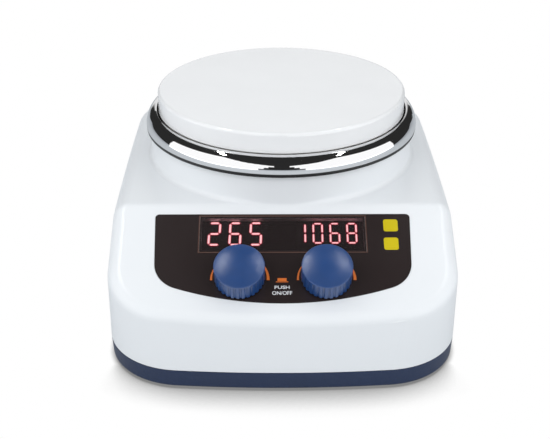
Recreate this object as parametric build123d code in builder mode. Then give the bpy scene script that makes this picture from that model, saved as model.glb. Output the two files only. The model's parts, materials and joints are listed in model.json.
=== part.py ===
from build123d import *
from math import asin, atan2, cos, degrees, hypot, radians, sin, sqrt
import os

os.makedirs("parts", exist_ok=True)

# Magnetic stirrer with a heated plate. Millimetres. +Z is up, the control panel faces -Y,
# and the origin is on the bench under the centre of the body.

# ---- driving dimensions: body ----
body_width = 172.0             # at the shoulder
body_depth = 220.0
front_bow = 6.5              # how far the front wall bulges
side_bow = 1.4               # how far each side wall bulges
side_flare = 2.6             # how much further out each side is at the seam
front_corner_radius = 21.0   # at the shoulder
seam_corner_radius = 39.0    # front corners at the seam
rear_corner_radius = 39.0
wall = 2.6
foot_height = 1.2            # clear height under the base
seam_height = 11.0           # where the housing meets the base
seam_edge_radius = 0.5       # both mouldings, where they meet
shoulder_height = 73.0
shoulder_edge_radius = 8.0
panel_angle = 28.2           # slope of the control panel
panel_crease_y = -50.5       # where the panel leaves the shoulder
panel_edge_radius = 7.0
base_taper = 0.6             # how far the base draws in towards the bench
base_edge_radius = 1.6
base_floor = 3.0
tongue_height = 4.0          # base lip that stands up inside the housing
tongue_thickness = 2.0
moulding_clearance = 0.2

# ---- work plate, trim ring and heater ----
overall_height = 110.0
plate_y = 20.0               # centre of the plate, in front-to-back position
plate_radius = 67.5
plate_height = 10.6          # visible height of the plate's rim
plate_thickness = 6.0
plate_rim_wall = 3.5
plate_edge_radius = 1.6
neck_radius = 72.0
plate_rise = 20.8            # work surface over the top of the housing's round neck
neck_foot_radius = 2.5
ring_radius = 74.4
ring_rise = 2.2              # height of the ring's widest line over the neck
ring_side_radius = 10.0      # of the section's curve up the side
ring_crown_radius = 4.9      # of its tighter curve over the top
ring_turn = 35.0             # slope in degrees where the two curves meet
ring_thickness = 1.6
ring_flange = 1.0
ledge_bore = 50.0            # radius of the opening in the neck's inner ledge
ledge_drop = 2.6             # ledge top below the neck's top
shield_thickness = 1.0
shield_rim_height = 7.4
heater_radius = 52.0
heater_bore = 12.0
heater_thickness = 2.0
clamp_thickness = 1.0
standoff_circle = 58.0
standoff_radius = 5.0
standoff_count, standoff_angle = 4, 45.0
plate_boss_drop = 4.0        # boss length under the plate's solid top
plate_screw_radius = 2.0
screw_depth_in_plate = 1.5
clamp_screw_circle = 32.0
clamp_screw_radius = 1.5
clamp_screw_count, clamp_screw_angle = 3, 90.0
screw_clearance = 0.2
pad_clearance = 0.3
sensor_radius = 2.0
sensor_depth_in_plate = 3.0
cutoff_radius = 7.0
cutoff_height = 8.0
cutoff_circle = 42.0
cutoff_tab_width, cutoff_tab_thickness, cutoff_tab_length = 6.3, 0.8, 6.0

# ---- stirring drive ----
shaft_radius = 3.0
running_clearance = 0.05
shaft_opening_clearance = 1.0
magnet_gap = 1.6             # magnets below the heat shield
magnet_radius = 9.0
magnet_height = 7.0
magnet_seat = 2.0            # how deep each magnet sits in its carrier
magnet_offset = 19.0
carrier_thickness = 6.0
carrier_length = 62.0
carrier_width = 24.0
hub_radius = 8.0
hub_length = 10.0
hub_opening_clearance = 2.0
set_screw_radius = 2.0
motor_radius = 31.0
motor_length = 36.0
motor_wall = 1.5
motor_face = 2.0
motor_top_gap = 4.0          # hub above the motor's face
bearing_radius = 9.5
bearing_width = 4.0
bearing_seat_wall = 2.5
stator_length = 20.0
stator_yoke = 7.0
stator_pole_count = 6
pole_width = 6.0
pole_tip_radius = 17.0
air_gap = 0.6
coil_width = 13.0
coil_depth = 4.0
coil_length = 25.0
coil_clearance = 0.1
bracket_thickness = 2.0
bracket_size = 92.0
bracket_corner_radius = 8.0
pillar_spacing = 80.0
pillar_radius = 4.0
pillar_boss_radius = 5.5
pillar_boss_height = 3.5
grommet_height = 2.0
grommet_radius = 5.0
motor_screw_circle = 24.0
motor_screw_count, motor_screw_angle = 4, 45.0

# ---- fasteners ----
m3_radius = 1.5
m3_head_radius = 2.75
m3_head_height = 2.0
m4_head_radius = 3.6
m4_head_height = 2.5
thread_depth = 5.0
post_radius = 5.0
base_screw_radius = 1.6
base_screw_head_radius = 3.2
base_screw_head_height = 2.2
base_screw_length = 22.0
base_screw_sink = 0.4        # screw head above the base's underside
post_side_inset = 20.5       # posts from the body's sides, front and rear
front_post_inset = 22.0
rear_post_inset = 48.0

# ---- feet and underside ----
foot_radius = 9.0
foot_recess = 1.2
foot_chamfer = 0.8
foot_spigot_radius = 3.0
foot_side_inset = 36.5       # feet from the body's sides, front and rear
front_foot_inset = 20.0
rear_foot_inset = 22.0
vent_length = 34.0
vent_width = 3.0
vent_pitch = 7.0
vent_count = 5
front_vent_y = -57.0
rear_vent_y = 78.0

# ---- control panel: x across, t down the slope from the crease ----
overlay_half_width = 63.8    # at its top edge
overlay_low_half_width = 62.3
overlay_top = 6.5
overlay_bottom = 58.0
overlay_bow = 12.3           # rise of the curved lower edge at its ends
overlay_corner_radius = 2.0
overlay_lower_radius = 15.0
overlay_thickness = 0.4
overlay_recess = 0.25
label_clearance = 0.15
window_half_width = 41.3
window_top = 7.8
window_bottom = 29.0
window_rim = 1.0             # glued border of the window
knob_x = 21.0
knob_t = 44.0
knob_radius = 12.3
knob_height = 12.3
knob_dome = 2.2
knob_edge_radius = 0.5
knob_smooth_band = 0.6       # plain rim over the flutes
knob_flute_radius = 0.75
knob_flute_depth = 0.5
knob_flute_count = 29
knob_hub_radius = 5.0
knob_hollow_radius = 9.3
knob_roof = 4.5              # solid depth at the knob's crown
push_travel = 0.8
push_reserve = 0.35          # gap left when a knob is pressed home
bushing_radius = 3.5
bushing_rise = 2.4
panel_hole_clearance = 0.2
nut_across_flats = 10.0
nut_height = 2.0
encoder_size = 12.0
encoder_height = 8.4
encoder_chamber_radius = 4.2
encoder_floor = 1.0
plunger_radius = 3.8
plunger_height = 1.0
plunger_drop = 0.7           # free depth kept under a pressed plunger
board_thickness = 1.6
display_board_half_width = 52.0
display_board_top = 5.0
display_board_bottom = 58.0
board_post_radius = 3.5
board_post_x = 48.0
board_post_top = 9.0
board_post_bottom = 54.0
digit_height_outer = 19.0
digit_depth = 8.0
heat_digit_x, heat_digit_width = -23.7, 33.0
stir_digit_x, stir_digit_width = 24.0, 34.0
digit_t = 18.4

# ---- power electronics ----
power_board_width = 104.0
power_board_depth = 54.0
power_board_y = -57.0
power_board_rise = 6.5       # board above the base's floor
power_post_inset = 5.0
header_width, header_depth, header_height = 22.0, 6.0, 6.0
ribbon_width = 18.0
ribbon_thickness = 1.0
ribbon_bend_radius = 8.0
display_header_t = 30.0
transformer_x, transformer_y = -32.0, -52.0
transformer_width, transformer_depth, transformer_height = 30.0, 26.0, 22.0
transformer_coil_overhang = 4.0
transformer_coil_height = 15.0
transformer_coil_corner = 3.0
capacitor_x, capacitor_y = 24.0, -45.0
capacitor_radius, capacitor_height, capacitor_pitch = 7.0, 20.0, 15.5
capacitor_edge_radius = 0.8
relay_x, relay_y = 26.0, -66.0
relay_width, relay_depth, relay_height = 20.0, 12.0, 15.0
sink_x, sink_y = -4.0, -42.0
sink_width, sink_depth, sink_height = 18.0, 14.0, 20.0
sink_fin_count, sink_fin_thickness, sink_web = 5, 1.6, 3.0

# ---- rear fittings ----
recess_width, recess_height, recess_depth = 74.0, 36.0, 4.0
recess_centre_z = 37.0
recess_corner_radius = 4.0
inlet_x = -19.0
inlet_width, inlet_height, inlet_depth = 27.0, 27.4, 22.0
inlet_flange_width, inlet_flange_height, flange_thickness = 31.0, 31.4, 2.5
inlet_flange_corner = 2.0
socket_width, socket_height, socket_depth = 24.2, 16.4, 16.5
socket_corner = 3.0
inlet_wall = 1.2
pin_width, pin_thickness, pin_pitch = 4.0, 2.0, 14.0
pin_length, pin_tab_length, earth_rise = 13.0, 7.0, 3.0
drawer_height, drawer_width, drawer_depth = 6.8, 24.0, 14.0
drawer_clearance = 0.2
drawer_grip = 0.8
fuse_radius, fuse_length = 2.5, 20.0
fuse_clearance = 0.3
drawer_wall = 0.9
rocker_x = 9.0
rocker_half_length = 8.0
rocker_width = 10.0
rocker_crown = 5.2           # ends of the rocker over its pivot
rocker_dip = 0.9             # hollow across the rocker's middle
rocker_root = 3.0
rocker_pivot_depth = 2.6     # pivot behind the rear panel's face
rocker_tilt = 6.0
rocker_clearance = 0.3
rocker_side_wall = 1.2
rocker_end_wall = 0.8
rocker_lip = 1.0
rocker_flange = 2.0
rocker_flange_corner = 1.0
rocker_body_depth = 12.0
pivot_radius = 1.2
pivot_length = 0.9
jack_x = 27.0
jack_radius = 4.0
jack_depth = 16.0
jack_bore = 1.8
jack_bore_depth = 15.0
jack_flange_radius = 5.5
jack_flange = 2.0
rod_gap = 1.5                # rod socket's flange to the foot of the neck
rod_thread_radius = 4.25     # tapped M10
rod_thread_depth = 28.0
rod_socket_radius = 7.0
rod_socket_length = 32.0
rod_flange_radius = 9.5
rod_flange_height = 2.0
rod_nut_across_flats = 18.0
rod_nut_height = 5.0
rod_boss_radius = 10.5       # thick pad under the shoulder

# ---- heights and places that follow ----
half_width = body_width / 2
front_y, rear_y = -body_depth / 2, body_depth / 2
neck_height = overall_height - plate_rise
plate_low = overall_height - plate_height
plate_under = overall_height - plate_thickness
plate_boss_low = plate_under - plate_boss_drop
plate_pocket_radius = plate_radius - plate_rim_wall
neck_bore = neck_radius - wall
ledge_high = neck_height - ledge_drop
ledge_low = ledge_high - wall
shield_top = ledge_high + shield_thickness
heater_low = plate_under - heater_thickness
clamp_low = heater_low - clamp_thickness
base_inset = wall + moulding_clearance + tongue_thickness
floor_top = foot_height + base_floor
magnet_top = ledge_high - magnet_gap
magnet_low = magnet_top - magnet_height
carrier_top = magnet_low + magnet_seat
carrier_low = carrier_top - carrier_thickness
hub_low = carrier_low - hub_length
bracket_top = hub_low - motor_top_gap + bracket_thickness
bracket_low = bracket_top - bracket_thickness
motor_low = bracket_low - motor_length
bearing_high = bracket_low - motor_face
motor_middle = (motor_low + bracket_low) / 2
pillar_low = floor_top + pillar_boss_height
pillar_high = bracket_low - grommet_height
board_face = wall + encoder_height
power_board_low = floor_top + power_board_rise
power_board_top = power_board_low + board_thickness
rear_panel_y = rear_y - recess_depth
tilt = radians(rocker_tilt)
rocker_reach = rocker_half_length * cos(tilt) + rocker_crown * sin(tilt) + rocker_clearance
rocker_bay_width = rocker_width + 2 * rocker_clearance
rocker_body_width = rocker_bay_width + 2 * rocker_side_wall
rocker_body_height = 2 * (rocker_reach + rocker_end_wall)
overlay_face = overlay_thickness - overlay_recess
knob_low = overlay_face + push_travel + push_reserve
shaft_low = -(board_face - encoder_floor - plunger_drop - push_travel - plunger_height)
plate_centre = (0, plate_y)
plate_axis = Axis((0, plate_y, 0), (0, 0, 1))
plate_section = Plane.XZ.offset(-plate_y)
rear_panel = Plane(origin=(0, rear_panel_y, 0), x_dir=(-1, 0, 0), z_dir=(0, 1, 0))
post_x = half_width - post_side_inset
post_places = [(x, y) for x in (-post_x, post_x)
               for y in (front_y + front_post_inset, rear_y - rear_post_inset)]
foot_x = half_width - foot_side_inset
foot_places = [(x, y) for x in (-foot_x, foot_x)
               for y in (front_y + front_foot_inset, rear_y - rear_foot_inset)]
board_post_places = [(x, -t) for x in (-board_post_x, board_post_x)
                     for t in (board_post_top, board_post_bottom)]
knob_places = {"heat": (-knob_x, -knob_t), "stir": (knob_x, -knob_t)}
rear_corner_x = half_width - side_bow / 2 - rear_corner_radius
rear_corner_y = rear_y - rear_corner_radius - plate_y
rod_angle = atan2(rear_corner_y, rear_corner_x)
rod_circle = neck_radius + neck_foot_radius + rod_gap + rod_flange_radius
rod_place = [(rod_circle * cos(rod_angle), plate_y + rod_circle * sin(rod_angle))]
rod_boss_low = shoulder_height - shoulder_edge_radius
half_flat_angle = 30.0        # turns a nut's flat, not its corner, to the housing's corner


def ring_of_places(radius, count, start):
    """Points round the plate's axis."""
    angles = [radians(start + 360.0 * i / count) for i in range(count)]
    return [(radius * cos(a), plate_y + radius * sin(a)) for a in angles]


standoff_places = ring_of_places(standoff_circle, standoff_count, standoff_angle)
clamp_screw_places = ring_of_places(clamp_screw_circle, clamp_screw_count, clamp_screw_angle)
motor_screw_places = ring_of_places(motor_screw_circle, motor_screw_count, motor_screw_angle)
pillar_places = [(x, plate_y + y) for x in (-pillar_spacing / 2, pillar_spacing / 2)
                 for y in (-pillar_spacing / 2, pillar_spacing / 2)]
power_post_places = [(x, power_board_y + y)
                     for x in (power_post_inset - power_board_width / 2,
                               power_board_width / 2 - power_post_inset)
                     for y in (power_post_inset - power_board_depth / 2,
                               power_board_depth / 2 - power_post_inset)]


def bar(radius, low, high, places=(plate_centre,), plane=Plane.XY, mode=Mode.ADD):
    """Round bars, or bores, between two heights over a plane."""
    with BuildSketch(plane.offset(low)) as section:
        with Locations(*places):
            Circle(radius)
    extrude(section.sketch, amount=high - low, mode=mode)


def block(width, depth, low, high, place, plane=Plane.XY, corner=0.0, mode=Mode.ADD):
    """Rectangular block, or pocket, between two heights over a plane."""
    with BuildSketch(plane.offset(low)) as section:
        with Locations(place):
            if corner:
                RectangleRounded(width, depth, corner)
            else:
                Rectangle(width, depth)
    extrude(section.sketch, amount=high - low, mode=mode)


def finish(builder, label):
    """Name a finished piece and write it."""
    builder.part.label = label
    export_step(builder.part, f"parts/{label}.step")


def panel_plane(depth=0.0):
    """The control panel's face, or a plane below it: local x across, local y up the slope."""
    slope = radians(panel_angle)
    face = Plane(origin=(0, panel_crease_y, shoulder_height), x_dir=(1, 0, 0),
                 z_dir=(0, -sin(slope), cos(slope)))
    return face.offset(-depth)


def body_outline(height, inset):
    """Plan of the body: bowed front and sides, flat rear. It widens from shoulder to seam."""
    spread = min((shoulder_height - height) / (shoulder_height - seam_height), 1)
    half = half_width + side_flare * spread - inset
    front_corner = front_corner_radius + (seam_corner_radius - front_corner_radius) * spread
    end = half - side_bow
    front, rear = front_y + inset, rear_y - inset
    with BuildSketch(Plane.XY.offset(height)) as plan:
        with BuildLine():
            ThreePointArc((-end, front + front_bow), (0, front), (end, front + front_bow))
            ThreePointArc((end, front + front_bow), (half, 0), (end, rear))
            Line((end, rear), (-end, rear))
            ThreePointArc((-end, rear), (-half, 0), (-end, front + front_bow))
        make_face()
        fillet(plan.vertices().group_by(Axis.Y)[0], front_corner - inset)
        fillet(plan.vertices().group_by(Axis.Y)[-1], rear_corner_radius - inset)
    return plan.sketch


def housing_form(inset):
    """Body over the seam, drawn in by inset: level shoulder, sloped panel, rounded edges."""
    with BuildPart() as form:
        add(body_outline(seam_height, inset))
        add(body_outline(shoulder_height - inset, inset))
        loft()
        fillet(form.faces().sort_by(Axis.Z)[-1].edges(), shoulder_edge_radius - inset)
        split(bisect_by=panel_plane(inset), keep=Keep.BOTTOM)
        panel = form.faces().filter_by(panel_plane(inset)).sort_by(Axis.Y)[0]
        fillet(panel.edges(), panel_edge_radius - inset)
    return form.part


def overlay_outline(depth, growth=0.0):
    """Label outline on the panel: straight top and sides, curved lower edge."""
    half, low_half = overlay_half_width + growth, overlay_low_half_width + growth
    top, low = -overlay_top + growth, -overlay_bottom - growth
    with BuildSketch(panel_plane(depth)) as outline:
        with BuildLine():
            Polyline((low_half, low + overlay_bow), (half, top), (-half, top),
                     (-low_half, low + overlay_bow))
            ThreePointArc((-low_half, low + overlay_bow), (0, low), (low_half, low + overlay_bow))
        make_face()
        fillet(outline.vertices().group_by(Axis.Y)[0], overlay_lower_radius + growth)
        fillet(outline.vertices().group_by(Axis.Y)[-1], overlay_corner_radius + growth)
    return outline.sketch


# ================= housing and base =================

# Hollow of the housing. Screw posts, board posts and a pad for the rod socket are left in it.
with BuildPart() as cavity:
    add(housing_form(wall))
    bar(neck_bore, shoulder_height - 2 * wall, ledge_low)
    bar(post_radius, seam_height, shoulder_height, post_places, mode=Mode.SUBTRACT)
    bar(board_post_radius, -board_face, 0, board_post_places, panel_plane(), Mode.SUBTRACT)
    bar(rod_boss_radius, rod_boss_low, shoulder_height, rod_place, mode=Mode.SUBTRACT)
    block(recess_width + 2 * wall, recess_height + 2 * wall, -wall, recess_depth,
          (0, recess_centre_z), rear_panel, recess_corner_radius + wall, Mode.SUBTRACT)


def on_neck(edge):
    """True of an edge that runs round the neck."""
    ends = (edge @ 0, edge @ 0.5)
    return all(abs(hypot(p.X, p.Y - plate_y) - neck_radius) < running_clearance for p in ends)


window_place = (0, -(window_top + window_bottom) / 2)
window_width = 2 * window_half_width
window_height = window_bottom - window_top

with BuildPart() as upper_housing:
    add(housing_form(0))
    bar(neck_radius, shoulder_height - shoulder_edge_radius, neck_height)
    neck_foot = (upper_housing.edges()
                 .filter_by(on_neck)
                 .filter_by_position(Axis.Z, rod_boss_low, shoulder_height + neck_foot_radius))
    fillet(neck_foot, neck_foot_radius)
    add(cavity.part, mode=Mode.SUBTRACT)
    bar(neck_bore, ledge_high, neck_height, mode=Mode.SUBTRACT)
    bar(ledge_bore, ledge_low, ledge_high, mode=Mode.SUBTRACT)
    bar(plate_screw_radius + screw_clearance, ledge_low, ledge_high, standoff_places,
        mode=Mode.SUBTRACT)
    extrude(overlay_outline(overlay_recess, label_clearance), amount=overlay_recess,
            mode=Mode.SUBTRACT)
    block(window_width - 2 * window_rim, window_height - 2 * window_rim, -wall, 0, window_place,
          panel_plane(), mode=Mode.SUBTRACT)
    bar(bushing_radius + panel_hole_clearance, -wall, 0, knob_places.values(), panel_plane(),
        Mode.SUBTRACT)
    bar(m3_radius, -board_face, thread_depth - board_face, board_post_places, panel_plane(),
        Mode.SUBTRACT)
    bar(base_screw_radius, seam_height, seam_height + base_screw_length - base_floor, post_places,
        mode=Mode.SUBTRACT)
    block(recess_width, recess_height, 0, recess_depth, (0, recess_centre_z), rear_panel,
          recess_corner_radius, Mode.SUBTRACT)
    block(inlet_width + 2 * moulding_clearance, inlet_height + 2 * moulding_clearance, -wall, 0,
          (-inlet_x, recess_centre_z), rear_panel, mode=Mode.SUBTRACT)
    block(rocker_body_width + 2 * moulding_clearance, rocker_body_height + 2 * moulding_clearance,
          -wall, 0, (-rocker_x, recess_centre_z), rear_panel, mode=Mode.SUBTRACT)
    bar(jack_radius + moulding_clearance, -wall, 0, [(-jack_x, recess_centre_z)], rear_panel,
        Mode.SUBTRACT)
    bar(rod_socket_radius + moulding_clearance, rod_boss_low, shoulder_height, rod_place,
        mode=Mode.SUBTRACT)
    skirt = upper_housing.faces().group_by(Axis.Z)[0].sort_by(SortBy.AREA)[-1]
    fillet(skirt.outer_wire().edges(), seam_edge_radius)
finish(upper_housing, "upper_housing")

# Shallow base. Its lip stands inside the housing and locates it.
with BuildPart() as base_tray:
    add(body_outline(foot_height, base_taper))
    add(body_outline(seam_height, 0))
    loft()
    fillet(base_tray.faces().sort_by(Axis.Z)[0].edges(), base_edge_radius)
    fillet(base_tray.faces().sort_by(Axis.Z)[-1].edges(), seam_edge_radius)
    loft([body_outline(height, wall + moulding_clearance)
          for height in (seam_height, seam_height + tongue_height)])
    extrude(body_outline(floor_top, base_inset), amount=seam_height + tongue_height - floor_top,
            mode=Mode.SUBTRACT)
    bar(post_radius, floor_top, seam_height, post_places)
    bar(pillar_boss_radius, floor_top, pillar_low, pillar_places)
    bar(board_post_radius, floor_top, power_board_low, power_post_places)
    bar(m3_radius, pillar_low - thread_depth, pillar_low, pillar_places, mode=Mode.SUBTRACT)
    bar(m3_radius, power_board_low - thread_depth, power_board_low, power_post_places,
        mode=Mode.SUBTRACT)
    bar(foot_radius, foot_height, foot_height + foot_recess, foot_places, mode=Mode.SUBTRACT)
    bar(foot_spigot_radius, foot_height, floor_top, foot_places, mode=Mode.SUBTRACT)
    bar(base_screw_head_radius + screw_clearance, foot_height,
        foot_height + base_screw_sink + base_screw_head_height, post_places, mode=Mode.SUBTRACT)
    bar(base_screw_radius + screw_clearance, foot_height, seam_height, post_places,
        mode=Mode.SUBTRACT)
    with BuildSketch(Plane.XY.offset(foot_height)):
        for vent_y in (front_vent_y, rear_vent_y):
            with Locations((0, vent_y)):
                with GridLocations(vent_length, vent_pitch, 1, vent_count):
                    SlotOverall(vent_length, vent_width)
    extrude(amount=base_floor, mode=Mode.SUBTRACT)
finish(base_tray, "base_tray")

# Rubber feet pushed into the base.
with BuildPart() as rubber_feet:
    bar(foot_radius, 0, foot_height + foot_recess, foot_places)
    chamfer(rubber_feet.faces().group_by(Axis.Z)[0].edges(), foot_chamfer)
    bar(foot_spigot_radius, foot_height + foot_recess, floor_top, foot_places)
finish(rubber_feet, "rubber_feet")

# Four screws that hold the base to the housing's posts.
with BuildPart() as base_screws:
    head_low = foot_height + base_screw_sink
    head_high = head_low + base_screw_head_height
    bar(base_screw_head_radius, head_low, head_high, post_places)
    bar(base_screw_radius, head_high, head_low + base_screw_length, post_places)
finish(base_screws, "base_screws")

# ================= plate, ring and heater =================

with BuildPart() as work_plate:
    bar(plate_radius, plate_low, overall_height)
    bar(plate_pocket_radius, plate_low, plate_under, mode=Mode.SUBTRACT)
    fillet(work_plate.faces().sort_by(Axis.Z)[-1].edges(), plate_edge_radius)
    bar(standoff_radius, plate_boss_low, plate_under, standoff_places)
    bar(plate_screw_radius, plate_boss_low, plate_under + screw_depth_in_plate, standoff_places,
        mode=Mode.SUBTRACT)
    bar(clamp_screw_radius, plate_under, plate_under + screw_depth_in_plate, clamp_screw_places,
        mode=Mode.SUBTRACT)
    bar(sensor_radius, plate_under, plate_under + sensor_depth_in_plate, mode=Mode.SUBTRACT)
finish(work_plate, "work_plate")

# Polished ring: a rounded bead on a flat flange that rests on the neck.
side_centre = Vector(ring_radius - ring_side_radius, neck_height + ring_rise)
meeting = Vector(cos(radians(ring_turn)), sin(radians(ring_turn)))
crown_centre = side_centre + meeting * (ring_side_radius - ring_crown_radius)
shield_radius = neck_bore - moulding_clearance


def on_bead(centre, radius, angle):
    """Place on the ring's section, at an angle in degrees up from its widest line."""
    return centre + Vector(cos(radians(angle)), sin(radians(angle))) * radius


with BuildPart() as trim_ring:
    with BuildSketch(plate_section):
        side_bore = ring_side_radius - ring_thickness
        crown_bore = ring_crown_radius - ring_thickness
        foot = -degrees(asin(ring_rise / ring_side_radius))
        inner_foot = -degrees(asin((ring_rise - ring_flange) / side_bore))
        flange_bore = shield_radius + moulding_clearance
        with BuildLine():
            outer_side = ThreePointArc(*(on_bead(side_centre, ring_side_radius, angle)
                                         for angle in (foot, 0, ring_turn)))
            crown_middle = (ring_turn + 90) / 2
            outer_crown = ThreePointArc(*(on_bead(crown_centre, ring_crown_radius, angle)
                                          for angle in (ring_turn, crown_middle, 90)))
            inner_crown = ThreePointArc(*(on_bead(crown_centre, crown_bore, angle)
                                          for angle in (90, crown_middle, ring_turn)))
            inner_side = ThreePointArc(*(on_bead(side_centre, side_bore, angle)
                                         for angle in (ring_turn, 0, inner_foot)))
            Line(outer_crown @ 1, inner_crown @ 0)
            Polyline(inner_side @ 1, (flange_bore, neck_height + ring_flange),
                     (flange_bore, neck_height), outer_side @ 0)
        make_face()
    revolve(axis=plate_axis)
finish(trim_ring, "trim_ring")

# Steel pan on the neck's ledge, between the hot plate and the drive.
with BuildPart() as heat_shield:
    bar(shield_radius, ledge_high, shield_top + shield_rim_height)
    bar(shield_radius - shield_thickness, shield_top, shield_top + shield_rim_height,
        mode=Mode.SUBTRACT)
    bar(plate_screw_radius + screw_clearance, ledge_high, shield_top, standoff_places,
        mode=Mode.SUBTRACT)
finish(heat_shield, "heat_shield")

with BuildPart() as insulation_pad:
    bar(plate_pocket_radius - pad_clearance, shield_top, clamp_low)
    bar(standoff_radius + pad_clearance, shield_top, clamp_low, standoff_places,
        mode=Mode.SUBTRACT)
    bar(sensor_radius + screw_clearance, shield_top, clamp_low, mode=Mode.SUBTRACT)
    bar(m3_head_radius + pad_clearance, clamp_low - m3_head_height - pad_clearance, clamp_low,
        clamp_screw_places, mode=Mode.SUBTRACT)
finish(insulation_pad, "insulation_pad")

# Ring-shaped mica heater, pressed to the plate by a steel clamp disc.
with BuildPart() as heater_element:
    bar(heater_radius, heater_low, plate_under)
    bar(heater_bore, heater_low, plate_under, mode=Mode.SUBTRACT)
    bar(clamp_screw_radius + screw_clearance, heater_low, plate_under, clamp_screw_places,
        mode=Mode.SUBTRACT)
finish(heater_element, "heater_element")

with BuildPart() as heater_clamp:
    bar(heater_radius, clamp_low, heater_low)
    bar(heater_bore, clamp_low, heater_low, mode=Mode.SUBTRACT)
    bar(clamp_screw_radius + screw_clearance, clamp_low, heater_low, clamp_screw_places,
        mode=Mode.SUBTRACT)
finish(heater_clamp, "heater_clamp")

with BuildPart() as clamp_screws:
    bar(m3_head_radius, clamp_low - m3_head_height, clamp_low, clamp_screw_places)
    bar(clamp_screw_radius, clamp_low, plate_under + screw_depth_in_plate, clamp_screw_places)
finish(clamp_screws, "clamp_screws")

with BuildPart() as plate_standoffs:
    bar(standoff_radius, shield_top, plate_boss_low, standoff_places)
    bar(plate_screw_radius + screw_clearance, shield_top, plate_boss_low, standoff_places,
        mode=Mode.SUBTRACT)
finish(plate_standoffs, "plate_standoffs")

with BuildPart() as plate_screws:
    bar(m4_head_radius, ledge_low - m4_head_height, ledge_low, standoff_places)
    bar(plate_screw_radius, ledge_low, plate_under + screw_depth_in_plate, standoff_places)
finish(plate_screws, "plate_screws")

with BuildPart() as plate_sensor:
    bar(sensor_radius, shield_top, plate_under + sensor_depth_in_plate)
finish(plate_sensor, "plate_sensor")

# Over-temperature cut-out, fixed under the heat shield, with two tab terminals.
with BuildPart() as thermal_cutoff:
    cutoff_place = (0, plate_y + cutoff_circle)
    bar(cutoff_radius, ledge_high - cutoff_height, ledge_high, [cutoff_place])
    tab_high = ledge_high - cutoff_height
    for side in (-1, 1):
        block(cutoff_tab_thickness, cutoff_tab_width, tab_high - cutoff_tab_length, tab_high,
              (side * cutoff_radius / 2, cutoff_place[1]))
finish(thermal_cutoff, "thermal_cutoff")

# ================= stirring drive =================

with BuildPart() as magnet_carrier:
    with BuildSketch(Plane.XY.offset(carrier_low)):
        with Locations(plate_centre):
            SlotOverall(carrier_length, carrier_width)
    extrude(amount=carrier_thickness)
    bar(hub_radius, hub_low, carrier_low)
    magnet_places = [(-magnet_offset, plate_y), (magnet_offset, plate_y)]
    bar(magnet_radius, magnet_low, carrier_top, magnet_places, mode=Mode.SUBTRACT)
    bar(shaft_radius, hub_low, carrier_top, mode=Mode.SUBTRACT)
    bar(set_screw_radius, 0, hub_radius, [(plate_y, hub_low + hub_length / 2)], Plane.YZ,
        Mode.SUBTRACT)
finish(magnet_carrier, "magnet_carrier")

with BuildPart() as drive_magnets:
    bar(magnet_radius, magnet_low, magnet_top, magnet_places)
finish(drive_magnets, "drive_magnets")

with BuildPart() as carrier_screw:
    bar(set_screw_radius, shaft_radius, hub_radius, [(plate_y, hub_low + hub_length / 2)], Plane.YZ)
    bar(shaft_radius, hub_low, carrier_low, mode=Mode.SUBTRACT)
finish(carrier_screw, "carrier_screw")

with BuildPart() as motor_shaft:
    bar(shaft_radius, motor_low + motor_face + running_clearance, carrier_top)
finish(motor_shaft, "motor_shaft")

stator_low = motor_middle - stator_length / 2
stator_high = stator_low + stator_length
with BuildPart() as rotor_core:
    bar(pole_tip_radius - air_gap, stator_low, stator_high)
    bar(shaft_radius, stator_low, stator_high, mode=Mode.SUBTRACT)
finish(rotor_core, "rotor_core")

with BuildPart() as motor_bearings:
    for low in (motor_low + motor_face, bearing_high - bearing_width):
        bar(bearing_radius, low, low + bearing_width)
        bar(shaft_radius + running_clearance, low, low + bearing_width, mode=Mode.SUBTRACT)
finish(motor_bearings, "motor_bearings")

stator_radius = motor_radius - motor_wall
yoke_middle = stator_radius - stator_yoke / 2
with BuildPart() as motor_stator:
    bar(stator_radius, stator_low, stator_high)
    bar(stator_radius - stator_yoke, stator_low, stator_high, mode=Mode.SUBTRACT)
    with BuildSketch(Plane.XY.offset(stator_low)):
        with Locations(plate_centre):
            with PolarLocations((pole_tip_radius + yoke_middle) / 2, stator_pole_count):
                Rectangle(yoke_middle - pole_tip_radius, pole_width)
    extrude(amount=stator_length)
    bar(pole_tip_radius, stator_low, stator_high, mode=Mode.SUBTRACT)
finish(motor_stator, "motor_stator")

coil_outer = stator_radius - stator_yoke - coil_clearance
with BuildPart() as motor_windings:
    with BuildSketch(Plane.XY.offset(motor_middle - coil_length / 2)):
        with Locations(plate_centre):
            with PolarLocations(coil_outer - coil_depth / 2, stator_pole_count):
                Rectangle(coil_depth, coil_width)
            Circle(coil_outer, mode=Mode.INTERSECT)
    extrude(amount=coil_length)
    with BuildSketch(Plane.XY.offset(stator_low - coil_clearance)):
        with Locations(plate_centre):
            with PolarLocations(coil_outer - coil_depth / 2, stator_pole_count):
                Rectangle(2 * coil_depth, pole_width + 2 * coil_clearance)
    extrude(amount=stator_length + 2 * coil_clearance, mode=Mode.SUBTRACT)
finish(motor_windings, "motor_windings")

seat_radius = bearing_radius + bearing_seat_wall
with BuildPart() as motor_can:
    bar(motor_radius, motor_low + motor_face, bracket_low)
    bar(stator_radius, motor_low + motor_face, bearing_high, mode=Mode.SUBTRACT)
    bar(seat_radius, bearing_high - bearing_width, bearing_high)
    bar(bearing_radius, bearing_high - bearing_width, bearing_high, mode=Mode.SUBTRACT)
    bar(shaft_radius + shaft_opening_clearance, bearing_high, bracket_low, mode=Mode.SUBTRACT)
    bar(m3_radius, bearing_high, bracket_low, motor_screw_places, mode=Mode.SUBTRACT)
finish(motor_can, "motor_can")

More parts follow.
